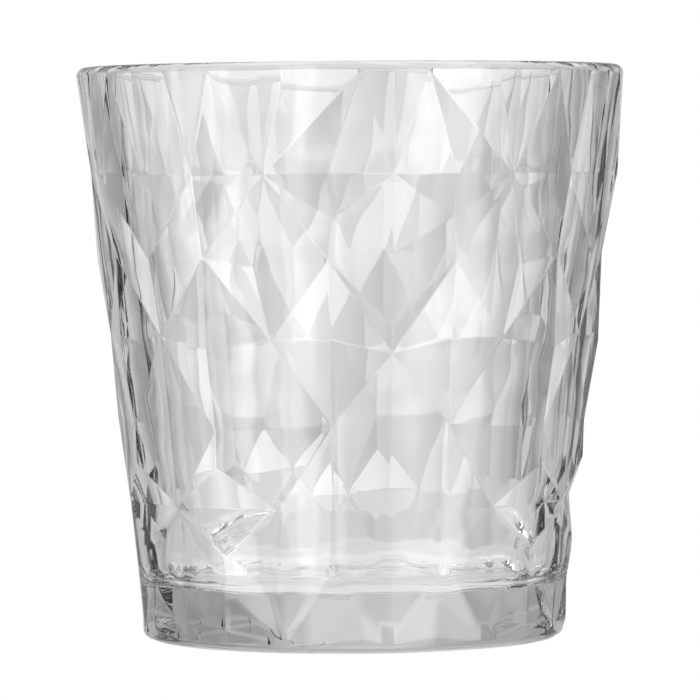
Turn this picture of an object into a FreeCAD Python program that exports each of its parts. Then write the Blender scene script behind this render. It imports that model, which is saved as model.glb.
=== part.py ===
import FreeCAD, Part
import math
import os

import Sketcher

# A whiskey tumbler pressed in one piece: a thick conical cup with a solid base, a smooth round inside
# and a cut-glass pattern of flat facets outside.
# Frame: millimetres, +Z up, the origin on the axis of the cup where the foot meets the table.
# The front of the cup is at -Y. Angles round the cup are in degrees from the front, positive towards +X.

SIZES = [
    # alias, value, what it measures
    ("height", 90.0, "table to the top of the lip"),
    ("rim_radius", 43.1, "outside of the lip"),
    ("rim_wall", 2.8, "glass thickness at the lip"),
    ("lip_round", 1.3, "rounding of both edges of the lip"),
    ("foot_radius", 33.0, "mean facet radius at the table"),
    ("mean_rim_radius", 43.3, "mean facet radius at the lip"),
    ("blank_margin", 0.95, "how far the smooth blank stands outside the mean facet cone"),
    ("foot_edge_round", 1.6, "rounding where the wall meets the foot"),
    ("floor_height", 9.0, "top of the solid base, inside"),
    ("floor_radius", 30.2, "inside wall carried down to the floor"),
    ("floor_round", 3.5, "rounding between the floor and the inside wall"),
    ("recess_radius", 27.0, "hollow under the base, at its roof"),
    ("recess_depth", 1.2, "height of that hollow"),
    ("recess_draft", 1.2, "how much wider the hollow is at the table"),
    ("recess_round", 0.6, "rounding of the hollow's edge"),
    ("overrun", 1.0, "how far the facets run past the lip and the foot before they are trimmed"),
    ("lip_relief", 0.1, "facet corners outside the mean cone at the lip"),
    ("sectors", 3, "times the pattern repeats round the cup"),
    ("stem_angle", 9.2, "the stem column nearest the front"),
    # columns, in degrees from a stem column; the pattern is mirrored about the stem and about the blade
    ("column_stem", 0.0, "column under the short upright stem"),
    ("column_lozenge", 14.0, "column of the narrow lozenges"),
    ("column_star", 28.0, "column where the rays of three stars meet"),
    ("column_dart", 44.0, "column of the darts"),
    ("column_blade", 60.0, "column of the long blades"),
    # levels, above the table
    ("level_crown", 73.0, "top ring of stars"),
    ("level_shoulder", 60.0, "widest part of the upper lozenges"),
    ("level_belt", 48.0, "middle ring of stars"),
    ("level_waist", 35.0, "widest part of the lower lozenges"),
    ("level_hem", 22.0, "bottom ring of stars"),
]

# Sizes that follow from the ones above
DERIVED = [
    ("wall_slope", "=(mean_rim_radius - foot_radius) / height", "how far the mean facet cone leans out"),
    ("blank_foot", "=foot_radius + blank_margin", "outside of the blank at the table"),
    ("collar_height", "=(rim_radius - blank_foot) / wall_slope", "where the blank stops leaning out"),
    ("inside_rim", "=rim_radius - rim_wall", "inside of the lip"),
    ("recess_mouth", "=recess_radius + recess_draft", "the hollow under the base, at the table"),
]

# Corners of the facets in one half of a repeat:
# name: column, degrees from that column, level, height above that level, relief off the mean cone
CORNERS = {
    "stem_lip": ("column_stem", 0.0, "height", 0.0, 0.0),
    "ray_a_lip": ("column_stem", 7.0, "height", 0.0, 0.0),
    "fan_a_lip": ("column_stem", 12.0, "height", 0.0, 0.0),
    "fan_b_lip": ("column_stem", 17.0, "height", 0.0, 0.0),
    "ray_b_lip": ("column_star", -5.5, "height", 0.0, 0.0),
    "star_lip": ("column_star", 0.0, "height", 0.0, 0.0),
    "fan_c_lip": ("column_star", 5.5, "height", 0.0, 0.0),
    "dart_lip": ("column_star", 11.0, "height", 0.0, 0.0),
    "fan_d_lip": ("column_dart", 1.0, "height", 0.0, 0.0),
    "blade_ray_lip": ("column_blade", -9.5, "height", 0.0, 0.0),
    "fan_e_lip": ("column_blade", -4.5, "height", 0.0, 0.0),
    "blade_lip": ("column_blade", 0.0, "height", 0.0, 0.0),
    "stem_crown": ("column_stem", 0.0, "level_crown", 0.0, 0.05),
    "lozenge_crown": ("column_lozenge", 0.0, "level_crown", 0.0, -0.3),
    "star_crown": ("column_star", 0.0, "level_crown", 0.0, -0.4),
    "dart_crown": ("column_dart", 0.0, "level_crown", 0.0, 0.8),
    "blade_crown": ("column_blade", 0.0, "level_crown", 0.0, -0.5),
    "stem_notch": ("column_stem", 0.0, "level_shoulder", 1.0, -0.45),
    "arm_top": ("column_lozenge", -1.0, "level_shoulder", 6.5, 0.45),
    "lozenge_shoulder": ("column_lozenge", 0.0, "level_shoulder", 0.0, 0.7),
    "dart_shoulder": ("column_dart", 0.0, "level_shoulder", 0.5, -0.3),
    "blade_shoulder": ("column_blade", 0.0, "level_shoulder", 0.0, 0.1),
    "stem_top": ("column_stem", 0.0, "level_belt", 2.5, -0.3),
    "stem_bottom": ("column_stem", 0.0, "level_belt", -2.0, 0.2),
    "lozenge_ridge": ("column_lozenge", 0.0, "level_belt", 0.0, -0.25),
    "star_ridge": ("column_star", 3.0, "level_shoulder", -1.0, -0.2),
    "star_belt": ("column_star", 0.0, "level_belt", 0.0, -0.4),
    "dart_belt": ("column_dart", 0.0, "level_belt", -1.5, 0.65),
    "blade_belt": ("column_blade", 0.0, "level_belt", 0.5, -0.7),
    "lozenge_waist": ("column_lozenge", 0.0, "level_waist", 0.0, 0.44),
    "dart_waist": ("column_dart", 0.0, "level_waist", -1.0, -0.2),
    "lozenge_tail": ("column_lozenge", 0.0, "level_hem", 5.0, 0.1),
    "dart_tip": ("column_dart", 0.0, "level_hem", 6.4, 0.2),
    "stem_hem": ("column_stem", 0.0, "level_hem", 0.0, -0.7),
    "lozenge_hem": ("column_lozenge", 0.0, "level_hem", 0.0, -0.2),
    "star_hem": ("column_star", 0.0, "level_hem", 0.0, -0.3),
    "blade_hem": ("column_blade", 0.0, "level_hem", 0.0, -0.7),
    "dart_low": ("column_dart", 0.0, "level_hem", -7.0, 0.07),
    "lozenge_low": ("column_lozenge", 0.5, "level_hem", -8.5, 0.1),
    "star_low": ("column_star", 2.5, "level_hem", -13.0, -0.1),
    "dart_heel": ("column_dart", 0.0, "level_hem", -12.4, -0.24),
    "dart_toe": ("column_dart", 0.0, "level_hem", -19.0, 0.39),
    "stem_foot": ("column_stem", 0.0, "level_hem", -22.0, 0.0),
    "star_foot": ("column_star", 0.0, "level_hem", -22.0, 0.0),
    "dart_foot": ("column_dart", 0.0, "level_hem", -22.0, 0.0),
    "blade_foot": ("column_blade", 0.0, "level_hem", -22.0, 0.0),
}

# Facets of one half of a repeat, each a triangle of three corners
FACETS = [
    # lip to crown
    ("stem_lip", "ray_a_lip", "stem_crown"),
    ("stem_crown", "ray_a_lip", "lozenge_crown"),
    ("lozenge_crown", "ray_a_lip", "star_crown"),
    ("ray_a_lip", "fan_a_lip", "star_crown"),
    ("fan_a_lip", "fan_b_lip", "star_crown"),
    ("fan_b_lip", "ray_b_lip", "star_crown"),
    ("ray_b_lip", "star_lip", "star_crown"),
    ("star_lip", "fan_c_lip", "star_crown"),
    ("fan_c_lip", "dart_lip", "star_crown"),
    ("star_crown", "dart_lip", "dart_crown"),
    ("dart_lip", "fan_d_lip", "dart_crown"),
    ("fan_d_lip", "blade_ray_lip", "dart_crown"),
    ("dart_crown", "blade_ray_lip", "blade_crown"),
    ("blade_ray_lip", "fan_e_lip", "blade_crown"),
    ("fan_e_lip", "blade_lip", "blade_crown"),
    # crown to belt
    ("stem_crown", "lozenge_crown", "arm_top"),
    ("stem_crown", "arm_top", "stem_notch"),
    ("lozenge_crown", "star_crown", "arm_top"),
    ("arm_top", "star_crown", "lozenge_shoulder"),
    ("stem_notch", "arm_top", "lozenge_shoulder"),
    ("stem_notch", "lozenge_shoulder", "stem_top"),
    ("star_crown", "star_ridge", "lozenge_shoulder"),
    ("lozenge_shoulder", "star_ridge", "star_belt"),
    ("star_crown", "dart_shoulder", "star_ridge"),
    ("dart_shoulder", "star_belt", "star_ridge"),
    ("star_crown", "dart_crown", "dart_shoulder"),
    ("dart_crown", "blade_shoulder", "dart_shoulder"),
    ("dart_crown", "blade_crown", "blade_shoulder"),
    ("dart_shoulder", "blade_shoulder", "blade_belt"),
    ("dart_shoulder", "dart_belt", "star_belt"),
    ("dart_shoulder", "blade_belt", "dart_belt"),
    # belt to hem
    ("lozenge_shoulder", "stem_bottom", "stem_top"),
    ("lozenge_shoulder", "lozenge_ridge", "stem_bottom"),
    ("lozenge_ridge", "lozenge_waist", "stem_bottom"),
    ("lozenge_shoulder", "star_belt", "lozenge_ridge"),
    ("lozenge_ridge", "star_belt", "lozenge_waist"),
    ("stem_bottom", "lozenge_waist", "stem_hem"),
    ("star_belt", "dart_waist", "lozenge_waist"),
    ("star_belt", "dart_belt", "dart_waist"),
    ("dart_belt", "blade_belt", "dart_waist"),
    ("lozenge_waist", "dart_waist", "star_hem"),
    ("lozenge_waist", "lozenge_tail", "stem_hem"),
    ("lozenge_waist", "star_hem", "lozenge_tail"),
    ("lozenge_tail", "lozenge_hem", "stem_hem"),
    ("lozenge_tail", "star_hem", "lozenge_hem"),
    ("dart_waist", "dart_tip", "star_hem"),
    ("dart_waist", "blade_hem", "dart_tip"),
    ("dart_waist", "blade_belt", "blade_hem"),
    ("dart_tip", "blade_hem", "star_hem"),
    # hem to foot
    ("stem_hem", "lozenge_hem", "lozenge_low"),
    ("lozenge_hem", "star_hem", "lozenge_low"),
    ("stem_hem", "lozenge_low", "stem_foot"),
    ("lozenge_low", "star_foot", "stem_foot"),
    ("star_hem", "star_low", "lozenge_low"),
    ("lozenge_low", "star_low", "star_foot"),
    ("star_hem", "blade_hem", "dart_low"),
    ("star_hem", "dart_low", "star_low"),
    ("star_low", "dart_low", "dart_heel"),
    ("dart_low", "blade_hem", "dart_heel"),
    ("star_low", "dart_heel", "star_foot"),
    ("dart_heel", "dart_toe", "star_foot"),
    ("dart_heel", "blade_hem", "blade_foot"),
    ("dart_heel", "blade_foot", "dart_toe"),
    ("star_foot", "dart_toe", "dart_foot"),
    ("dart_toe", "blade_foot", "dart_foot"),
]


def make_sheet(doc):
    """The driving dimensions, one to a row, each with an alias."""
    sheet = doc.addObject("Spreadsheet::Sheet", "Sizes")
    for row, (alias, value, meaning) in enumerate(SIZES + DERIVED, start=1):
        sheet.set(f"A{row}", meaning)
        sheet.set(f"B{row}", str(value))
        sheet.setAlias(f"B{row}", alias)
    doc.recompute()
    return sheet


def origin_feature(body, role):
    """One of a body's own origin planes or axes."""
    return next(item for item in body.Origin.OriginFeatures if item.Role == role)


def add_outline(body, name, corners):
    """A closed outline of straight lines in the body's XZ plane, every corner bound to the sheet.

    A corner is a pair of aliases, its distance from the axis of the cup and its height. None puts the
    corner on the axis, or on the table.
    """
    sheet = body.Document.Sizes
    sketch = body.newObject("Sketcher::SketchObject", name)
    sketch.AttachmentSupport = [(origin_feature(body, "XZ_Plane"), "")]
    sketch.MapMode = "FlatFace"
    points = []
    for across, up in corners:
        x = sheet.get(across) if across else 0.0
        z = sheet.get(up) if up else 0.0
        points.append(FreeCAD.Vector(x, z, 0))
    for begin, end in zip(points, points[1:] + points[:1]):
        sketch.addGeometry(Part.LineSegment(begin, end), False)
    last = len(corners) - 1
    for i, (across, up) in enumerate(corners):
        before = i - 1 if i else last
        sketch.addConstraint(Sketcher.Constraint("Coincident", before, 2, i, 1))
        for kind, alias, axis, value in (
            ("DistanceX", across, -2, points[i].x),
            ("DistanceY", up, -1, points[i].y),
        ):
            if alias is None:
                sketch.addConstraint(Sketcher.Constraint("PointOnObject", i, 1, axis))
                continue
            number = sketch.addConstraint(Sketcher.Constraint(kind, -1, 1, i, 1, value))
            sketch.setExpression(f"Constraints[{number}]", f"Sizes.{alias}")
    return sketch


def circle_edges(shape, radius, height):
    """Names of the round edges of a turned shape at one radius and one height."""
    names = []
    for number, edge in enumerate(shape.Edges, start=1):
        if not isinstance(edge.Curve, Part.Circle):
            continue
        if abs(edge.Curve.Radius - radius) < 1e-4 and abs(edge.Curve.Center.z - height) < 1e-4:
            names.append(f"Edge{number}")
    return names


def add_fillet(body, name, base, across, up, radius):
    """A fillet on the round edge at a distance from the axis and a height, all given as aliases."""
    sheet = body.Document.Sizes
    at_radius = sheet.get(across)
    at_height = sheet.get(up) if up else 0.0
    edges = circle_edges(base.Shape, at_radius, at_height)
    if not edges:
        raise RuntimeError(f"{name}: no edge at radius {at_radius}, height {at_height}")
    fillet = body.newObject("PartDesign::Fillet", name)
    fillet.Base = (base, edges)
    fillet.setExpression("Radius", f"Sizes.{radius}")
    body.Document.recompute()
    return fillet


def make_blank(doc):
    """The turned shape of the cup before its facets: outside, lip, inside wall, floor and recess."""
    body = doc.addObject("PartDesign::Body", "Blank")
    outline = add_outline(
        body,
        "BlankOutline",
        [
            (None, "recess_depth"),
            ("recess_radius", "recess_depth"),
            ("recess_mouth", None),
            ("blank_foot", None),
            ("rim_radius", "collar_height"),
            ("rim_radius", "height"),
            ("inside_rim", "height"),
            ("floor_radius", "floor_height"),
            (None, "floor_height"),
        ],
    )
    turned = body.newObject("PartDesign::Revolution", "BlankTurned")
    turned.Profile = outline
    turned.ReferenceAxis = (outline, ["V_Axis"])
    turned.Angle = 360
    doc.recompute()
    fillets = [
        ("LipOutside", "rim_radius", "height", "lip_round"),
        ("LipInside", "inside_rim", "height", "lip_round"),
        ("FloorCorner", "floor_radius", "floor_height", "floor_round"),
        ("FootEdge", "blank_foot", None, "foot_edge_round"),
        ("RecessEdge", "recess_mouth", None, "recess_round"),
    ]
    feature = turned
    for name, across, up, radius in fillets:
        feature = add_fillet(body, name, feature, across, up, radius)
    body.Tip = feature
    doc.recompute()
    return body


def facet_corner(sheet, name, sector, side):
    """Where one corner of the pattern stands, in one repeat and on one side of its stem column."""
    column, turn, level, rise, relief = CORNERS[name]
    height = sheet.get(level) + rise
    if name.endswith("_lip"):
        height += sheet.overrun
        relief += sheet.lip_relief
    if name.endswith("_foot"):
        height -= sheet.overrun
    radius = sheet.foot_radius + sheet.wall_slope * height + relief
    away = sheet.get(column) + turn
    angle = math.radians(sheet.stem_angle + 360.0 * sector / sheet.sectors + side * away)
    return FreeCAD.Vector(radius * math.sin(angle), -radius * math.cos(angle), height)


def ring(sheet, suffix):
    """The closed ring of corners at the lip or at the foot, in order round the cup."""
    names = [name for name in CORNERS if name.endswith(suffix)]
    points = []
    for sector in range(int(sheet.sectors)):
        points += [facet_corner(sheet, name, sector, 1) for name in names]
        points += [facet_corner(sheet, name, sector + 1, -1) for name in reversed(names[1:-1])]
    return points


def make_facets(doc):
    """The solid inside all the facets, closed by a flat top and a flat bottom beyond the blank."""
    sheet = doc.Sizes
    faces = []
    for sector in range(int(sheet.sectors)):
        for side in (1, -1):
            for names in FACETS:
                triangle = [facet_corner(sheet, name, sector, side) for name in names]
                faces.append(Part.Face(Part.makePolygon(triangle + triangle[:1])))
    for suffix in ("_lip", "_foot"):
        points = ring(sheet, suffix)
        faces.append(Part.Face(Part.makePolygon(points + points[:1])))
    shell = Part.Shell(faces)
    shell.sewShape()
    solid = Part.Solid(shell)
    if solid.Volume < 0:
        solid.reverse()
    feature = doc.addObject("Part::Feature", "FacetedOutside")
    feature.Shape = solid
    return feature


def make_tumbler(doc):
    """The cup: what the turned blank and the faceted outside have in common."""
    tumbler = doc.addObject("Part::Common", "Tumbler")
    tumbler.Base = make_blank(doc)
    tumbler.Tool = make_facets(doc)
    tumbler.Label = "tumbler"
    doc.recompute()
    return tumbler


def check(doc, parts):
    """Stops unless every object was computed and every part is one valid solid."""
    for item in doc.Objects:
        if "Invalid" in item.State or "Error" in item.State:
            raise RuntimeError(f"{item.Label}: {item.State}")
    for part in parts:
        if part.Shape.isNull() or not part.Shape.isValid() or len(part.Shape.Solids) != 1:
            raise RuntimeError(f"{part.Label}: not one valid solid")


def main():
    doc = FreeCAD.newDocument("WhiskeyTumbler")
    make_sheet(doc)
    parts = [make_tumbler(doc)]
    check(doc, parts)
    os.makedirs("parts", exist_ok=True)
    for part in parts:
        part.Shape.exportStep(os.path.join("parts", f"{part.Label}.step"))
        box = part.Shape.optimalBoundingBox()
        print(part.Label, f"{part.Shape.Volume / 1000:.1f} ml of glass,",
              f"{box.XLength:.2f} x {box.YLength:.2f} x {box.ZLength:.2f} mm")


main()
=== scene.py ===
import math

import bpy
import numpy as np
from mathutils import Matrix, Vector


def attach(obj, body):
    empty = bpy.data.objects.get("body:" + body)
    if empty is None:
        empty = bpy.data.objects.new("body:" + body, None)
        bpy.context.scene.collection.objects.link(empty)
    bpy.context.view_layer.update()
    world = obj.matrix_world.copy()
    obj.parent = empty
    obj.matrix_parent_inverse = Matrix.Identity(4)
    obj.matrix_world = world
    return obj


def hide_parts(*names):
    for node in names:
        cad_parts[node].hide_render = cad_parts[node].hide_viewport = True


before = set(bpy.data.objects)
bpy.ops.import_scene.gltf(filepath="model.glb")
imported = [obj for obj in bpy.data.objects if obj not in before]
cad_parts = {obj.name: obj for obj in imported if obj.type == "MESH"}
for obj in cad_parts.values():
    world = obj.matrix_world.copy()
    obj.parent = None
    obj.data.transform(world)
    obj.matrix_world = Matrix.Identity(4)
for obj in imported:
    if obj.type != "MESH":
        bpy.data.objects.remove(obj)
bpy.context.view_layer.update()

MM = 0.001

# ---------------------------------------------------------------- the cup's sizes, in millimetres
HEIGHT = 90.0
RIM_RADIUS = 43.1
RIM_WALL = 2.8
LIP_ROUND = 1.3
FOOT_RADIUS = 33.0
MEAN_RIM_RADIUS = 43.3
FOOT_EDGE_ROUND = 1.6
FLOOR_HEIGHT = 9.0
FLOOR_RADIUS = 30.2
FLOOR_ROUND = 3.5
RECESS_RADIUS = 27.0
RECESS_DEPTH = 1.2
RECESS_DRAFT = 1.2
# The recess under the base, from the foot ring inwards: distance from the axis, height, and which way
# the surface faces, outwards and upwards
RECESS_PROFILE = [
    (RECESS_RADIUS + RECESS_DRAFT + 0.6, 0.0, 0.0, -1.0),
    (RECESS_RADIUS + RECESS_DRAFT + 0.2, 0.1, -0.5, -0.9),
    (RECESS_RADIUS + RECESS_DRAFT - 0.2, 0.4, -0.8, -0.7),
    (RECESS_RADIUS + 0.2, RECESS_DEPTH - 0.2, -0.6, -0.8),
    (RECESS_RADIUS - 0.6, RECESS_DEPTH, 0.0, -1.0),
    (RECESS_RADIUS * 0.5, RECESS_DEPTH, 0.0, -1.0),
]
SECTORS = 3
STEM_ANGLE = 9.2
SLOPE = (MEAN_RIM_RADIUS - FOOT_RADIUS) / HEIGHT
LIP_START = HEIGHT - LIP_ROUND

STEM, LOZENGE, STAR, DART, BLADE = 0.0, 14.0, 28.0, 44.0, 60.0
CROWN, SHOULDER, BELT, WAIST, HEM = 73.0, 60.0, 48.0, 35.0, 22.0

# Corners of the facets in one half of a repeat: degrees from the stem, height, relief off the mean cone
CORNERS = {
    "stem_lip": (STEM, LIP_START, 0.0),
    "ray_a_lip": (STEM + 7.0, LIP_START, 0.0),
    "ray_b_lip": (STAR - 5.5, LIP_START, 0.0),
    "star_lip": (STAR, LIP_START, 0.0),
    "dart_lip": (STAR + 11.0, LIP_START, 0.0),
    "blade_ray_lip": (BLADE - 9.5, LIP_START, 0.0),
    "blade_lip": (BLADE, LIP_START, 0.0),
    "stem_crown": (STEM, CROWN, 0.05),
    "lozenge_crown": (LOZENGE, CROWN, -0.3),
    "star_crown": (STAR, CROWN, -0.4),
    "dart_crown": (DART, CROWN, 0.8),
    "blade_crown": (BLADE, CROWN, -0.5),
    "stem_notch": (STEM, SHOULDER + 1.0, -0.45),
    "arm_top": (LOZENGE - 1.0, SHOULDER + 6.5, 0.45),
    "lozenge_shoulder": (LOZENGE, SHOULDER, 0.7),
    "dart_shoulder": (DART, SHOULDER + 0.5, -0.3),
    "blade_shoulder": (BLADE, SHOULDER, 0.1),
    "stem_top": (STEM, BELT + 2.5, -0.3),
    "stem_bottom": (STEM, BELT - 2.0, 0.2),
    "lozenge_ridge": (LOZENGE, BELT, -0.25),
    "star_ridge": (STAR + 3.0, SHOULDER - 1.0, -0.2),
    "star_belt": (STAR, BELT, -0.4),
    "dart_belt": (DART, BELT - 1.5, 0.65),
    "blade_belt": (BLADE, BELT + 0.5, -0.7),
    "lozenge_waist": (LOZENGE, WAIST, 0.44),
    "dart_waist": (DART, WAIST - 1.0, -0.2),
    "lozenge_tail": (LOZENGE, HEM + 5.0, 0.1),
    "dart_tip": (DART, HEM + 6.4, 0.2),
    "stem_hem": (STEM, HEM, -0.7),
    "lozenge_hem": (LOZENGE, HEM, -0.2),
    "star_hem": (STAR, HEM, -0.3),
    "blade_hem": (BLADE, HEM, -0.7),
    "dart_low": (DART, HEM - 7.0, 0.07),
    "lozenge_low": (LOZENGE + 0.5, HEM - 8.5, 0.1),
    "star_low": (STAR + 2.5, HEM - 13.0, -0.1),
    "dart_heel": (DART, HEM - 12.4, -0.24),
    "dart_toe": (DART, HEM - 19.0, 0.39),
    "stem_foot": (STEM, FOOT_EDGE_ROUND, 0.0),
    "star_foot": (STAR, FOOT_EDGE_ROUND, 0.0),
    "dart_foot": (DART, FOOT_EDGE_ROUND, 0.0),
    "blade_foot": (BLADE, FOOT_EDGE_ROUND, 0.0),
}

# Facets of one half of a repeat, each a triangle of three corners
FACETS = [
    # lip to crown
    ("stem_lip", "ray_a_lip", "stem_crown"),
    ("stem_crown", "ray_a_lip", "lozenge_crown"),
    ("lozenge_crown", "ray_a_lip", "star_crown"),
    ("ray_a_lip", "ray_b_lip", "star_crown"),
    ("ray_b_lip", "star_lip", "star_crown"),
    ("star_lip", "dart_lip", "star_crown"),
    ("star_crown", "dart_lip", "dart_crown"),
    ("dart_lip", "blade_ray_lip", "dart_crown"),
    ("dart_crown", "blade_ray_lip", "blade_crown"),
    ("blade_ray_lip", "blade_lip", "blade_crown"),
    # crown to belt
    ("stem_crown", "lozenge_crown", "arm_top"),
    ("stem_crown", "arm_top", "stem_notch"),
    ("lozenge_crown", "star_crown", "arm_top"),
    ("arm_top", "star_crown", "lozenge_shoulder"),
    ("stem_notch", "arm_top", "lozenge_shoulder"),
    ("stem_notch", "lozenge_shoulder", "stem_top"),
    ("star_crown", "star_ridge", "lozenge_shoulder"),
    ("lozenge_shoulder", "star_ridge", "star_belt"),
    ("star_crown", "dart_shoulder", "star_ridge"),
    ("dart_shoulder", "star_belt", "star_ridge"),
    ("star_crown", "dart_crown", "dart_shoulder"),
    ("dart_crown", "blade_shoulder", "dart_shoulder"),
    ("dart_crown", "blade_crown", "blade_shoulder"),
    ("dart_shoulder", "blade_shoulder", "blade_belt"),
    ("dart_shoulder", "dart_belt", "star_belt"),
    ("dart_shoulder", "blade_belt", "dart_belt"),
    # belt to hem
    ("lozenge_shoulder", "stem_bottom", "stem_top"),
    ("lozenge_shoulder", "lozenge_ridge", "stem_bottom"),
    ("lozenge_ridge", "lozenge_waist", "stem_bottom"),
    ("lozenge_shoulder", "star_belt", "lozenge_ridge"),
    ("lozenge_ridge", "star_belt", "lozenge_waist"),
    ("stem_bottom", "lozenge_waist", "stem_hem"),
    ("star_belt", "dart_waist", "lozenge_waist"),
    ("star_belt", "dart_belt", "dart_waist"),
    ("dart_belt", "blade_belt", "dart_waist"),
    ("lozenge_waist", "dart_waist", "star_hem"),
    ("lozenge_waist", "lozenge_tail", "stem_hem"),
    ("lozenge_waist", "star_hem", "lozenge_tail"),
    ("lozenge_tail", "lozenge_hem", "stem_hem"),
    ("lozenge_tail", "star_hem", "lozenge_hem"),
    ("dart_waist", "dart_tip", "star_hem"),
    ("dart_waist", "blade_hem", "dart_tip"),
    ("dart_waist", "blade_belt", "blade_hem"),
    ("dart_tip", "blade_hem", "star_hem"),
    # hem to foot
    ("stem_hem", "lozenge_hem", "lozenge_low"),
    ("lozenge_hem", "star_hem", "lozenge_low"),
    ("stem_hem", "lozenge_low", "stem_foot"),
    ("lozenge_low", "star_foot", "stem_foot"),
    ("star_hem", "star_low", "lozenge_low"),
    ("lozenge_low", "star_low", "star_foot"),
    ("star_hem", "blade_hem", "dart_low"),
    ("star_hem", "dart_low", "star_low"),
    ("star_low", "dart_low", "dart_heel"),
    ("dart_low", "blade_hem", "dart_heel"),
    ("star_low", "dart_heel", "star_foot"),
    ("dart_heel", "dart_toe", "star_foot"),
    ("dart_heel", "blade_hem", "blade_foot"),
    ("dart_heel", "blade_foot", "dart_toe"),
    ("star_foot", "dart_toe", "dart_foot"),
    ("dart_toe", "blade_foot", "dart_foot"),
]

# ---------------------------------------------------------------- mesh resolution and softness
CREASE_WIDTH = 0.20  # mm from each crease to the flat of its facet
LOW_CREASE_WIDTH = 0.8  # the same near the foot, where the creases are softer
LOW_CREASE_HEIGHT = 18.0
LIP_STEPS = 7  # steps in each quarter of the rounded lip
WALL_STEPS = 5  # steps down the smooth inside
FLOOR_STEPS = 12
FOOT_STEPS = 8
ROUND_STEP = 1.4  # degrees between points where a facet meets the round lip or the round foot
FACET_CURVE = 0.08  # how far the normals at a facet's corners turn to those of its neighbours
FOOT_RING_RADIUS = 31.4

# ---------------------------------------------------------------- the glass, in metres
WAVE_LENGTH = 0.012
WAVE_HEIGHT = 0.0004
HAZE_SCALE = 60.0  # patches of haze per metre
HAZE_ROUGHNESS = (0.002, 0.014)  # in the clearest and in the dullest patches
GLASS_IOR = 1.5
ABSORPTION = 4.6  # light falls by this power of e in each metre of glass

# ---------------------------------------------------------------- the camera, in metres and degrees
CAMERA_PLACE = (0.0, -0.824, 0.0744)
CAMERA_TARGET = (-0.00025, 0.0, 0.0452)
CAMERA_ROLL = -0.41
CAMERA_LENS = 268.4
CAMERA_SENSOR = 36.0

# ---------------------------------------------------------------- the studio's light
# Brightness round the cup, as (azimuth, brightness). The azimuth is in degrees from straight behind
# the cup, positive towards +X. LEVEL_LIGHT is the light from about level with the cup.
LEVEL_LIGHT = [
    (-180, 0.90), (-140, 0.80), (-105, 0.45), (-70, 0.38), (-40, 0.46), (-22, 0.50), (-13, 0.67),
    (-5, 0.78), (2, 0.73), (9, 0.61), (16, 0.47), (30, 0.36), (60, 0.38), (85, 0.42), (115, 0.65),
    (145, 1.00), (180, 0.90),
]
# LOW_LIGHT is the light from just below it: soft boxes in front, to the left and right of the camera.
# The glass reflects them, but light that passes straight through it sees LOW_PLAIN instead.
LOW_LIGHT = [
    (-180, 0.6), (-168, 0.7), (-162, 3.6), (-150, 3.6), (-147, 0.8), (-125, 0.8), (-122, 3.6),
    (-112, 3.6), (-99, 2.6), (-95, 0.3), (-60, 0.3), (-30, 0.6), (30, 0.6), (60, 0.3), (112, 0.4),
    (119, 2.9), (145, 2.9), (160, 0.7), (180, 0.6),
]
LOW_PLAIN = 0.7
UNDER_LIGHT = 0.8
UPPER_LIGHT = 0.75
TOP_LIGHT = 1.2
FLOOR_SIZE = 3.0  # metres
FLOOR_GAP = 0.0002  # metres below the cup, so that the two never touch


def corner_key(name, sector, side):
    """One key for each corner of the cup; a corner on a mirror line is shared by both sides."""
    away = CORNERS[name][0]
    if away == STEM:
        side = 1
    if away == BLADE and side == -1:
        sector, side = sector - 1, 1
    return name, sector % SECTORS, side


def corner_angle(name, sector, side):
    """Degrees from the front to one corner."""
    return STEM_ANGLE + 360.0 * sector / SECTORS + side * CORNERS[name][0]


def around(angle, radius, height):
    """The point at an angle in degrees, a distance from the axis and a height."""
    turn = math.radians(angle)
    return np.array([radius * math.sin(turn), -radius * math.cos(turn), height])


def corner_point(name, sector, side):
    """Where one corner of the pattern stands. At the lip it is on the round lip itself."""
    _, height, relief = CORNERS[name]
    radius = RIM_RADIUS if name.endswith("_lip") else FOOT_RADIUS + SLOPE * height + relief
    return around(corner_angle(name, sector, side), radius, height)


def facet_corners(names, sector, side):
    """Corner keys and points of one facet, anticlockwise as seen from outside the cup."""
    points = [corner_point(name, sector, side) for name in names]
    facing = np.cross(points[1] - points[0], points[2] - points[0])
    if facing[:2] @ points[0][:2] < 0:
        names = tuple(reversed(names))
        points.reverse()
    return [corner_key(name, sector, side) for name in names], points


def unit(vector):
    """The same direction with length one."""
    return vector / np.linalg.norm(vector)


def crease_widths(points, soft):
    """How far each side of a facet moves in: not at all on a round edge, and never past the middle."""
    sides = [np.linalg.norm(points[(i + 1) % 3] - points[i]) for i in range(3)]
    area = np.linalg.norm(np.cross(points[1] - points[0], points[2] - points[0])) / 2
    most = area / sum(sides)
    widths = []
    for i in range(3):
        low = min(points[i][2], points[(i + 1) % 3][2]) < LOW_CREASE_HEIGHT
        widths.append(min(most, LOW_CREASE_WIDTH if low else CREASE_WIDTH) if soft[i] else 0.0)
    return widths


def inset(points, widths):
    """A triangle with each side moved in by its own width, and the way the triangle faces."""
    facing = unit(np.cross(points[1] - points[0], points[2] - points[0]))
    moved = []
    for i in range(3):
        ahead = unit(points[(i + 1) % 3] - points[i])
        behind = unit(points[i] - points[i - 1])
        turn = np.cross(behind, ahead) @ facing
        moved.append(points[i] + (ahead * widths[i - 1] - behind * widths[i]) / turn)
    return moved, facing


def round_edge(start, end, key):
    """Points dividing the side of a facet that lies on the round lip, or on the straight foot edge."""
    turns = [math.atan2(point[0], -point[1]) for point in (start, end)]
    span = (turns[1] - turns[0] + math.pi) % (2 * math.pi) - math.pi
    count = max(1, math.ceil(abs(math.degrees(span)) / ROUND_STEP))
    for i in range(1, count):
        if key[0].endswith("_lip"):
            yield around(math.degrees(turns[0] + span * i / count), RIM_RADIUS, LIP_START)
        else:
            yield start + (end - start) * i / count


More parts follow.
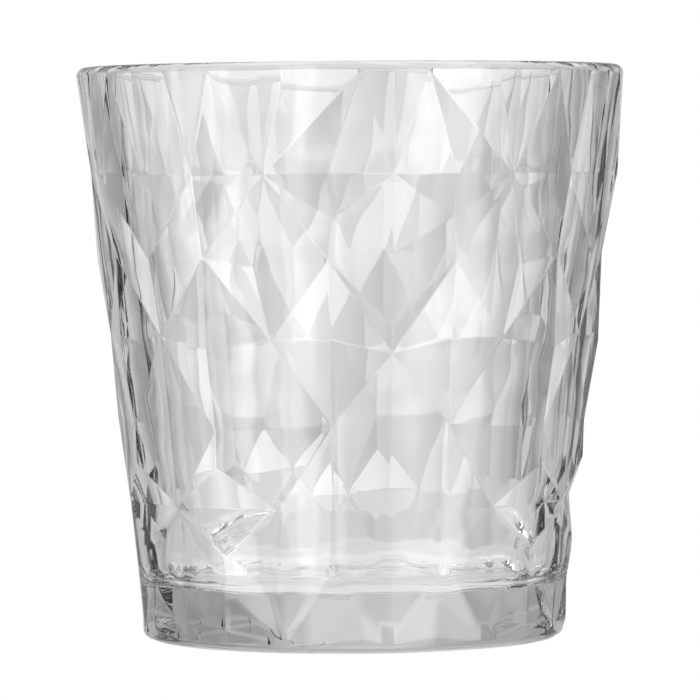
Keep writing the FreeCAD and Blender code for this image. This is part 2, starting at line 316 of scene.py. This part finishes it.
def faceted_wall():
    """The outside wall: flat facets, a soft band along each crease and a small cap on each corner.

    Returns points, their normals, faces, and the rings of point numbers at the lip and at the foot.
    """
    points, normals, faces = [], [], []
    at_corner, at_edge, rings = {}, {}, {"lip": [], "foot": []}

    def add(point, normal):
        points.append(point)
        normals.append(normal)
        return len(points) - 1

    for sector, side, names in ((k, m, f) for k in range(SECTORS) for m in (1, -1) for f in FACETS):
        keys, corners = facet_corners(names, sector, side)
        ends = [key[0].rpartition("_")[2] for key in keys]
        soft = [not (ends[i] == ends[(i + 1) % 3] and ends[i] in ("lip", "foot")) for i in range(3)]
        moved, facing = inset(corners, crease_widths(corners, soft))
        numbers = [add(point, facing) for point in moved]
        for key, end, number in zip(keys, ends, numbers):
            if end in rings:
                rings[end].append((key, number))
            else:
                at_corner.setdefault(key, []).append(number)
        outline = []
        for i in range(3):
            j = (i + 1) % 3
            outline.append(numbers[i])
            if soft[i]:
                at_edge.setdefault(frozenset((keys[i], keys[j])), []).append((numbers[i], numbers[j]))
                continue
            between = [add(point, facing) for point in round_edge(moved[i], moved[j], keys[i])]
            rings[ends[i]].extend((None, number) for number in between)
            outline.extend(between)
        apex = outline.index(numbers[(soft.index(False) + 2) % 3]) if False in soft else 0
        outline = outline[apex:] + outline[:apex]
        faces.extend((outline[0], outline[i], outline[i + 1]) for i in range(1, len(outline) - 1))
    for pairs in at_edge.values():
        (a, b), (c, d) = pairs
        faces.append((a, d, c, b))
    for numbers in at_corner.values():
        centre = np.mean([points[n] for n in numbers], axis=0)
        outward = unit(np.sum([normals[n] for n in numbers], axis=0))
        across = unit(np.cross([0.0, 0.0, 1.0], outward))
        up = np.cross(outward, across)
        turns = {n: math.atan2((points[n] - centre) @ up, (points[n] - centre) @ across) for n in numbers}
        order = sorted(numbers, key=turns.get)
        middle = add(centre, outward)
        for i, number in enumerate(order):
            faces.append((middle, number, order[(i + 1) % len(order)]))
            normals[number] = unit(normals[number] * (1 - FACET_CURVE) + outward * FACET_CURVE)

    def place(entry):
        """Where a point comes in its ring: by angle, and round its corner if it belongs to one."""
        key, number = entry
        x, y, z = points[number]
        turn = math.atan2(x, -y)
        if key is None:
            return turn, 0.0
        corner_x, corner_y, corner_z = corner_point(*key)
        corner_turn = math.atan2(corner_x, -corner_y)
        return corner_turn, math.atan2((turn - corner_turn) * FOOT_RADIUS, abs(z - corner_z))

    lip, foot = ([number for _, number in sorted(rings[end], key=place)] for end in ("lip", "foot"))
    return points, normals, faces, lip, foot


def inside_radius(height):
    """Distance from the axis to the smooth inside wall."""
    share = (height - FLOOR_HEIGHT) / (HEIGHT - FLOOR_HEIGHT)
    return FLOOR_RADIUS + (RIM_RADIUS - RIM_WALL - FLOOR_RADIUS) * share


def arc(centre_r, centre_z, radius, start, end, steps):
    """Points of a rounded corner with the way each faces, angles in degrees above the outward horizontal."""
    for i in range(steps + 1):
        turn = math.radians(start + (end - start) * i / steps)
        yield (centre_r + radius * math.cos(turn), centre_z + radius * math.sin(turn),
               math.cos(turn), math.sin(turn))


def turned_rings(angles, profile, points, normals):
    """Adds a ring of points for each stop of a profile: distance from the axis, height and facing."""
    rings = []
    for across, height, out, up in profile:
        radii = across if isinstance(across, np.ndarray) else np.full(len(angles), across)
        ring = []
        for angle, radius in zip(angles, radii):
            ring.append(len(points))
            points.append(np.array([radius * math.sin(angle), -radius * math.cos(angle), height]))
            normals.append(unit(np.array([out * math.sin(angle), -out * math.cos(angle), up])))
        rings.append(ring)
    return rings


def join_rings(rings, faces, outward):
    """Bands of faces between rings, listed from the top of the outside downwards, or the reverse."""
    for upper, lower in zip(rings, rings[1:]):
        for i in range(len(upper)):
            j = (i + 1) % len(upper)
            band = (upper[i], lower[i], lower[j], upper[j])
            faces.append(band if outward else tuple(reversed(band)))


def close_ring(ring, centre, normal, points, normals, faces, outward):
    """Fills a ring with a fan of triangles round a middle point."""
    middle = len(points)
    points.append(np.array(centre))
    normals.append(np.array(normal))
    for i in range(len(ring)):
        j = (i + 1) % len(ring)
        faces.append((ring[i], middle, ring[j]) if outward else (ring[j], middle, ring[i]))


def build_cup():
    """The whole cup as one closed mesh with its own normals."""
    points, normals, faces, lip, foot = faceted_wall()

    # lip: over the top and down the smooth inside to the floor
    lip_angles = sorted(math.atan2(points[n][0], -points[n][1]) for n in lip)
    inside_rim = inside_radius(LIP_START)
    wall_tilt = math.degrees(math.atan2(RIM_RADIUS - RIM_WALL - FLOOR_RADIUS, HEIGHT - FLOOR_HEIGHT))
    profile = list(arc(RIM_RADIUS - LIP_ROUND, LIP_START, LIP_ROUND, 0, 90, LIP_STEPS))[1:]
    profile += list(arc(inside_rim + LIP_ROUND, LIP_START, LIP_ROUND, 90, 180 - wall_tilt, LIP_STEPS))
    corner_z = FLOOR_HEIGHT + FLOOR_ROUND
    corner_r = inside_radius(corner_z) - FLOOR_ROUND / math.cos(math.radians(wall_tilt))
    out, up = -math.cos(math.radians(wall_tilt)), math.sin(math.radians(wall_tilt))
    lowest = corner_z + FLOOR_ROUND
    for i in range(1, WALL_STEPS + 1):
        height = LIP_START + (lowest - LIP_START) * i / WALL_STEPS
        profile.append((inside_radius(height), height, out, up))
    for r, z, facing, rise in arc(corner_r, corner_z, FLOOR_ROUND, -wall_tilt, -90, FLOOR_STEPS):
        profile.append((r, z, -facing, -rise))
    profile.append((corner_r * 0.5, FLOOR_HEIGHT, 0.0, 1.0))
    rings = [lip] + turned_rings(lip_angles, profile, points, normals)
    join_rings(rings, faces, False)
    close_ring(rings[-1], (0.0, 0.0, FLOOR_HEIGHT), (0.0, 0.0, 1.0), points, normals, faces, False)

    # foot: from the facets round to the foot ring, then the shallow recess
    foot_angles = sorted(math.atan2(points[n][0], -points[n][1]) for n in foot)
    edge = np.array([math.hypot(points[n][0], points[n][1]) for n in foot])
    profile = []
    for r, z, facing, rise in list(arc(0.0, FOOT_EDGE_ROUND, FOOT_EDGE_ROUND, 0, -90, FOOT_STEPS))[1:]:
        share = r / FOOT_EDGE_ROUND
        profile.append((FOOT_RING_RADIUS + (edge - FOOT_RING_RADIUS) * share, z, facing, rise))
    profile += RECESS_PROFILE
    rings = [foot] + turned_rings(foot_angles, profile, points, normals)
    join_rings(rings, faces, True)
    close_ring(rings[-1], (0.0, 0.0, RECESS_DEPTH), (0.0, 0.0, -1.0), points, normals, faces, True)

    mesh = bpy.data.meshes.new("cup")
    mesh.from_pydata([tuple(p * MM) for p in points], [], faces)
    mesh.polygons.foreach_set("use_smooth", [True] * len(mesh.polygons))
    mesh.update()
    mesh.normals_split_custom_set_from_vertices([tuple(n) for n in normals])
    cup = bpy.data.objects.new("faceted_cup", mesh)
    bpy.context.collection.objects.link(cup)
    return cup


def glass_material():
    """Clear pressed glass: a little grey where it is thick, with the faint waves left by the mould."""
    mat = bpy.data.materials.new("clear_glass")
    mat.use_nodes = True
    nodes, links = mat.node_tree.nodes, mat.node_tree.links
    shader, out = nodes["Principled BSDF"], nodes["Material Output"]
    shader.inputs["Base Color"].default_value = (1, 1, 1, 1)
    shader.inputs["IOR"].default_value = GLASS_IOR
    shader.inputs["Transmission Weight"].default_value = 1.0

    coords = nodes.new("ShaderNodeTexCoord")
    waves = nodes.new("ShaderNodeTexNoise")
    waves.inputs["Scale"].default_value = 1 / WAVE_LENGTH
    waves.inputs["Detail"].default_value = 1.0
    links.new(coords.outputs["Object"], waves.inputs["Vector"])
    bump = nodes.new("ShaderNodeBump")
    bump.inputs["Distance"].default_value = WAVE_HEIGHT
    links.new(waves.outputs["Fac"], bump.inputs["Height"])
    links.new(bump.outputs["Normal"], shader.inputs["Normal"])

    haze = nodes.new("ShaderNodeTexNoise")
    haze.inputs["Scale"].default_value = HAZE_SCALE
    haze.inputs["Detail"].default_value = 3.0
    links.new(coords.outputs["Object"], haze.inputs["Vector"])
    roughness = blend_over(nodes, links, haze.outputs["Fac"], 0.4, 0.7, *HAZE_ROUGHNESS)
    links.new(roughness, shader.inputs["Roughness"])

    depth = nodes.new("ShaderNodeVolumeAbsorption")
    depth.inputs["Color"].default_value = (0.5, 0.5, 0.5, 1)  # grey 0.5 takes half of the density
    depth.inputs["Density"].default_value = 2 * ABSORPTION
    links.new(depth.outputs[0], out.inputs["Volume"])
    return mat


def add_floor():
    """A white sheet under the cup, seen by the camera only."""
    mat = bpy.data.materials.new("floor_white")
    mat.use_nodes = True
    nodes, links = mat.node_tree.nodes, mat.node_tree.links
    nodes.clear()
    out = nodes.new("ShaderNodeOutputMaterial")
    emission = nodes.new("ShaderNodeEmission")
    emission.inputs["Color"].default_value = (1, 1, 1, 1)
    emission.inputs["Strength"].default_value = 1.0
    links.new(emission.outputs[0], out.inputs[0])

    half, z = FLOOR_SIZE / 2, -FLOOR_GAP
    corners = [(-half, -half, z), (half, -half, z), (half, half, z), (-half, half, z)]
    mesh = bpy.data.meshes.new("floor")
    mesh.from_pydata(corners, [], [(0, 1, 2, 3)])
    mesh.materials.append(mat)
    floor = bpy.data.objects.new("floor", mesh)
    bpy.context.collection.objects.link(floor)
    floor.visible_transmission = False
    floor.visible_glossy = False
    floor.visible_diffuse = False


def add_camera():
    """The camera in front of the cup, slightly above its middle."""
    data = bpy.data.cameras.new("camera")
    camera = bpy.data.objects.new("camera", data)
    bpy.context.collection.objects.link(camera)
    data.sensor_width = CAMERA_SENSOR
    data.lens = CAMERA_LENS
    data.clip_start, data.clip_end = 0.01, 20
    place = Vector(CAMERA_PLACE)
    look = (Vector(CAMERA_TARGET) - place).to_track_quat("-Z", "Y").to_matrix().to_4x4()
    roll = Matrix.Rotation(math.radians(CAMERA_ROLL), 4, "Z")
    camera.matrix_world = Matrix.Translation(place) @ look @ roll
    bpy.context.scene.camera = camera


def brightness_ramp(nodes, links, azimuth, stops):
    """A ramp over the azimuth, holding the brightness at each stop."""
    brightest = max(value for _, value in stops)
    ramp = nodes.new("ShaderNodeValToRGB")
    ramp.color_ramp.interpolation = "LINEAR"
    elements = ramp.color_ramp.elements
    while len(elements) < len(stops):
        elements.new(0.5)
    for element, (angle, value) in zip(elements, stops):
        element.position = (angle + 180) / 360
        element.color = (value / brightest,) * 3 + (1,)
    links.new(azimuth, ramp.inputs["Fac"])
    return math_node(nodes, links, "MULTIPLY", ramp.outputs["Color"], brightest)


def feed(links, value, socket):
    """Gives a socket a fixed number or the output of another node."""
    if isinstance(value, (int, float)):
        socket.default_value = value
    else:
        links.new(value, socket)


def math_node(nodes, links, operation, *values):
    """One math node fed by sockets or numbers; returns its output."""
    node = nodes.new("ShaderNodeMath")
    node.operation = operation
    for value, socket in zip(values, node.inputs):
        feed(links, value, socket)
    return node.outputs[0]


def blend_over(nodes, links, value, start, end, low, high):
    """Goes smoothly from low to high while value goes from start to end."""
    node = nodes.new("ShaderNodeMapRange")
    node.interpolation_type = "SMOOTHSTEP"
    node.inputs["From Min"].default_value = start
    node.inputs["From Max"].default_value = end
    feed(links, low, node.inputs["To Min"])
    feed(links, high, node.inputs["To Max"])
    feed(links, value, node.inputs["Value"])
    return node.outputs["Result"]


def add_world(scene):
    """White to the camera; a soft studio to the glass."""
    world = bpy.data.worlds.new("studio")
    scene.world = world
    world.use_nodes = True
    nodes, links = world.node_tree.nodes, world.node_tree.links
    coords = nodes.new("ShaderNodeTexCoord")
    split = nodes.new("ShaderNodeSeparateXYZ")
    links.new(coords.outputs["Generated"], split.inputs[0])
    x, y, z = split.outputs
    turn = math_node(nodes, links, "ARCTAN2", x, y)
    azimuth = math_node(nodes, links, "MULTIPLY_ADD", turn, 1 / (2 * math.pi), 0.5)

    def rising(start, end, below, above):
        """Goes from one brightness to another between two elevations in degrees."""
        heights = (math.sin(math.radians(start)), math.sin(math.radians(end)))
        return blend_over(nodes, links, z, *heights, below, above)

    # The path's depth is odd for light that passed straight through the glass, even once it is reflected
    path = nodes.new("ShaderNodeLightPath")
    passed_through = math_node(nodes, links, "MODULO", path.outputs["Ray Depth"], 2.0)
    boxes = brightness_ramp(nodes, links, azimuth, LOW_LIGHT)
    low = blend_over(nodes, links, passed_through, 0.0, 1.0, boxes, LOW_PLAIN)

    tilt = rising(4, 9, rising(-5, 3, 0.8, 1.2), 0.95)
    level = math_node(nodes, links, "MULTIPLY", brightness_ramp(nodes, links, azimuth, LEVEL_LIGHT), tilt)
    light = rising(-9, -6, low, level)
    light = rising(-32, -24, UNDER_LIGHT, light)
    light = rising(20, 26, light, UPPER_LIGHT)
    light = rising(45, 55, light, TOP_LIGHT)
    strength = blend_over(nodes, links, path.outputs["Is Camera Ray"], 0.0, 1.0, light, 1.0)
    background = nodes["Background"]
    background.inputs["Color"].default_value = (1, 1, 1, 1)
    links.new(strength, background.inputs["Strength"])


def add_studio():
    """The light, the floor, and how the picture is taken."""
    scene = bpy.context.scene
    add_world(scene)
    add_floor()
    scene.view_settings.view_transform = "Standard"
    scene.view_settings.look = "None"
    scene.cycles.max_bounces = 24
    scene.cycles.transmission_bounces = 24
    scene.cycles.glossy_bounces = 12


cup = build_cup()
cup.data.materials.append(glass_material())
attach(cup, "root")
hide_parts("tumbler")
add_camera()
add_studio()
